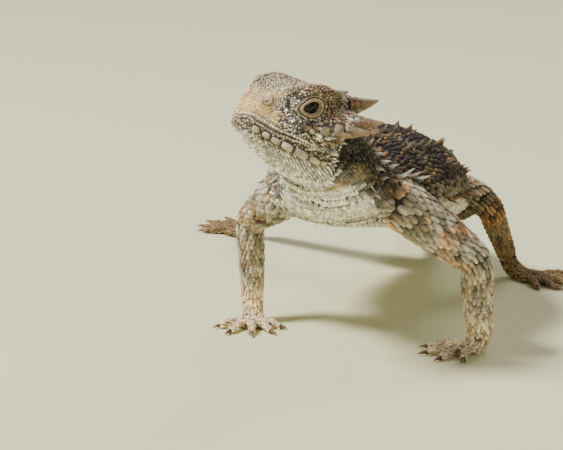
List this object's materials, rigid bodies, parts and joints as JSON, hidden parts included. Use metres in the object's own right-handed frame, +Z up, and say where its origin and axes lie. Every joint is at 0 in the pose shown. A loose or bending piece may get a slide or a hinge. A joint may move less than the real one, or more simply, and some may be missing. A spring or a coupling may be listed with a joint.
{
  "type": "horned lizard",
  "caption": "Life-size still model of a desert horned lizard standing on its forelegs with its head turned to one side.",
  "frame": {"origin": "middle of the bounding box, on the floor plane", "axes": "+Z up, the lizard faces -Y, its left side is +X, its body runs along Y"},
  "size_m": [0.0704, 0.1014, 0.0375],
  "materials": {
    "skin_head": "dry granular scales, tan and grey-brown mottled",
    "skin_back": "dry scaly skin, dark brown with grey and rust blotches",
    "skin_pale": "dry keeled scales, pale grey with rust spots",
    "horn": "horn, tan-brown with paler tips",
    "eye": "wet, nearly black eye"
  },
  "bodies": {
    "root": {"eye_left": "eye", "eye_right": "eye", "foot_left": "skin_pale", "foot_right": "skin_pale", "forearm_left": "skin_pale", "forearm_right": "skin_pale", "hand_left": "skin_pale", "hand_right": "skin_pale", "head": "skin_head", "hips": "skin_back", "horn_occipital_left": "horn", "horn_occipital_right": "horn", "horn_temporal_1_left": "horn", "horn_temporal_1_right": "horn", "horn_temporal_2_left": "horn", "horn_temporal_2_right": "horn", "horn_temporal_3_left": "horn", "horn_temporal_3_right": "horn", "jaw": "skin_pale", "neck": "skin_back", "shank_left": "skin_pale", "shank_right": "skin_pale", "tail_base": "skin_back", "tail_middle": "skin_back", "tail_tip": "skin_back", "thigh_left": "skin_pale", "thigh_right": "skin_pale", "torso": "skin_back", "upper_arm_left": "skin_pale", "upper_arm_right": "skin_pale"}
  },
  "joints": []
}
